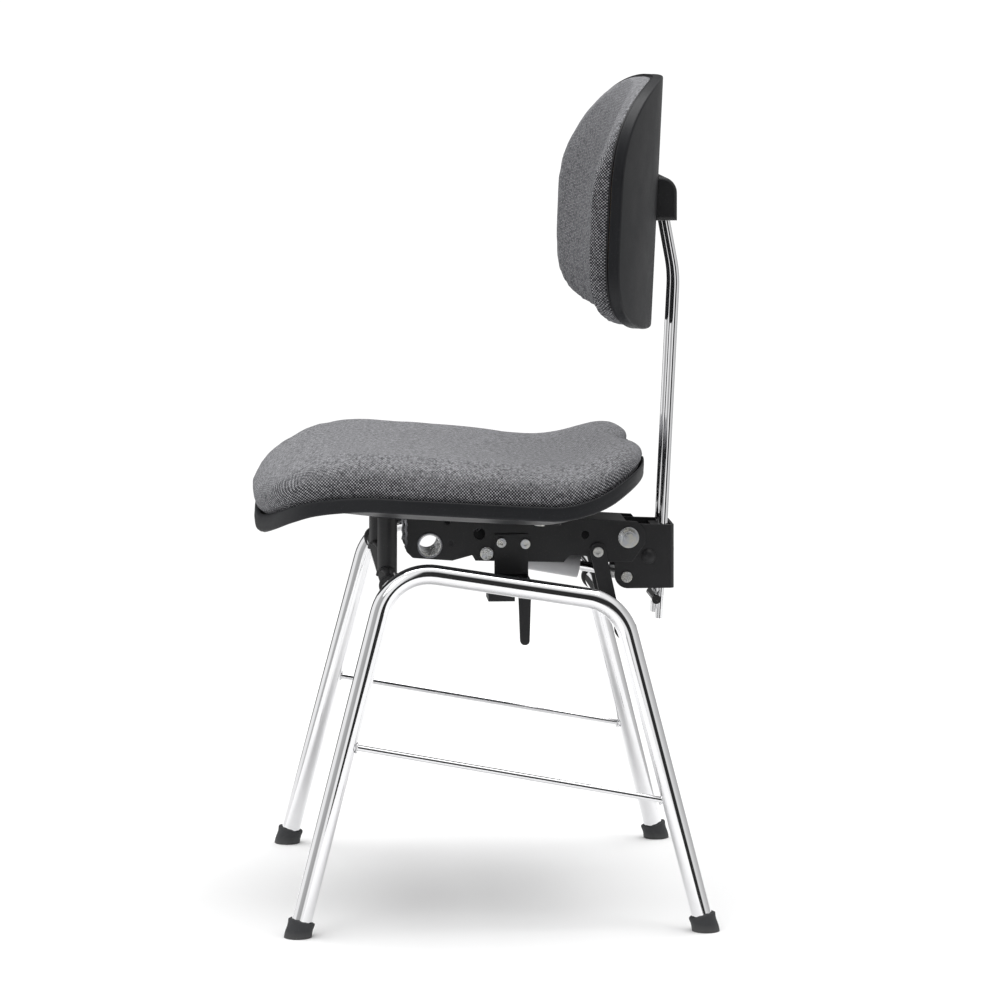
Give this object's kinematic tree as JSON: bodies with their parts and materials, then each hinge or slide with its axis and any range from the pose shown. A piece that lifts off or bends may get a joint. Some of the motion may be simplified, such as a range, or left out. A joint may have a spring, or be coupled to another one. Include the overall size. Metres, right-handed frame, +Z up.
{
  "type": "musician chair",
  "caption": "Musician's chair with splayed chromed tube legs, a padded seat, and a padded backrest on rods that tilts against a lockable gas spring.",
  "frame": {"origin": "on the floor under the middle of the chair's bounding box", "axes": "+Z up, the sitter faces -Y, +X is the sitter's left"},
  "size_m": [0.478, 0.4675, 0.8445],
  "materials": {
    "chrome_tube": "bright polished plating",
    "foot_rubber": "matt dark grey",
    "black_steel": "satin black powder coat",
    "black_plastic": "fine-grained satin",
    "shell_plastic": "satin moulded",
    "tweed_fabric": "grey and black basket weave",
    "plywood": "raw",
    "zinc_steel": "zinc plated",
    "spring_paint": "grey lacquer"
  },
  "bodies": {
    "base": {"left_side_frame": "chrome_tube", "right_side_frame": "chrome_tube", "front_left_foot": "foot_rubber", "front_right_foot": "foot_rubber", "rear_left_foot": "foot_rubber", "rear_right_foot": "foot_rubber", "front_cross_bar": "chrome_tube", "rear_cross_bar": "chrome_tube", "bar_collars": "black_steel", "left_stretcher_rod": "chrome_tube", "right_stretcher_rod": "chrome_tube", "left_front_post": "black_steel", "right_front_post": "black_steel", "front_bridge_plate": "black_steel", "rear_bridge_plate": "black_steel", "mechanism_channel": "black_steel", "channel_through_tube": "zinc_steel", "pivot_bolt": "zinc_steel", "pivot_flange_nut": "zinc_steel", "pivot_bush": "zinc_steel", "spring_front_bolt": "zinc_steel", "spring_front_nut": "zinc_steel", "left_link_plate": "black_steel", "right_link_plate": "black_steel", "link_screws": "zinc_steel", "lever_bracket": "black_steel", "bracket_screws": "zinc_steel", "release_block": "black_plastic", "lever_pin": "zinc_steel", "lever_spring": "zinc_steel", "seat_shell": "shell_plastic", "seat_board": "plywood", "seat_pad": "tweed_fabric", "seat_screws": "zinc_steel"},
    "lever": {"release_lever": "black_plastic"},
    "slider": {"cable_slider": "black_plastic"},
    "gas_cylinder": {"gas_spring_cylinder": "spring_paint", "gas_spring_front_eye": "zinc_steel", "gas_spring_gland": "zinc_steel"},
    "gas_rod": {"gas_spring_rod": "chrome_tube", "gas_spring_piston": "zinc_steel", "gas_spring_rear_eye": "zinc_steel"},
    "carrier": {"backrest_carrier": "black_steel", "spring_rear_bolt": "zinc_steel", "lower_rod_guide": "black_plastic", "upper_rod_guide": "black_plastic", "carrier_side_caps": "black_plastic", "height_clamp_screw": "zinc_steel"},
    "back_rods": {"left_back_rod": "chrome_tube", "right_back_rod": "chrome_tube", "rod_stop_bar": "chrome_tube", "rod_hinge_block": "black_plastic"},
    "back_pad": {"backrest_shell": "shell_plastic", "backrest_board": "plywood", "backrest_pad": "tweed_fabric", "hinge_housing": "black_plastic", "hinge_pin": "zinc_steel"}
  },
  "joints": [
    {"name": "back_tilt", "type": "hinge", "parent": "base", "child": "carrier", "pos_m": [0, 0.164, 0.3642], "axis": [1, 0, 0], "range_deg": [-13.5, 17.5]},
    {"name": "gas_spring_swing", "type": "hinge", "parent": "base", "child": "gas_cylinder", "pos_m": [0, 0.0165, 0.349], "axis": [1, 0, 0], "range_deg": [-0.65, 0.85]},
    {"name": "gas_spring_slide", "type": "slide", "parent": "gas_cylinder", "child": "gas_rod", "axis": [0, 0.9845, -0.1756], "range_m": [-0.0098, 0.0126]},
    {"name": "back_height", "type": "slide", "parent": "carrier", "child": "back_rods", "axis": [0, 0.0498, 0.9988], "range_m": [-0.06, 0.005]},
    {"name": "pad_tilt", "type": "hinge", "parent": "back_rods", "child": "back_pad", "pos_m": [0, 0.2036, 0.712], "axis": [1, 0, 0], "range_deg": [-8, 0]},
    {"name": "release_lever", "type": "hinge", "parent": "base", "child": "lever", "pos_m": [0.08, 0.052, 0.3155], "axis": [0, -1, 0], "range_deg": [0, 22], "stiffness_Nm_per_rad": 0.3, "springref_deg": -11.46},
    {"name": "cable_slide", "type": "slide", "parent": "base", "child": "slider", "axis": [1, 0, 0], "range_m": [0, 0.008]}
  ],
  "couplings": [
    {"joint": "gas_spring_swing", "follows": "back_tilt", "ratio": 0.0435},
    {"joint": "gas_spring_slide", "follows": "back_tilt", "m_per_rad": 0.0402},
    {"joint": "cable_slide", "follows": "release_lever", "m_per_rad": 0.02}
  ]
}
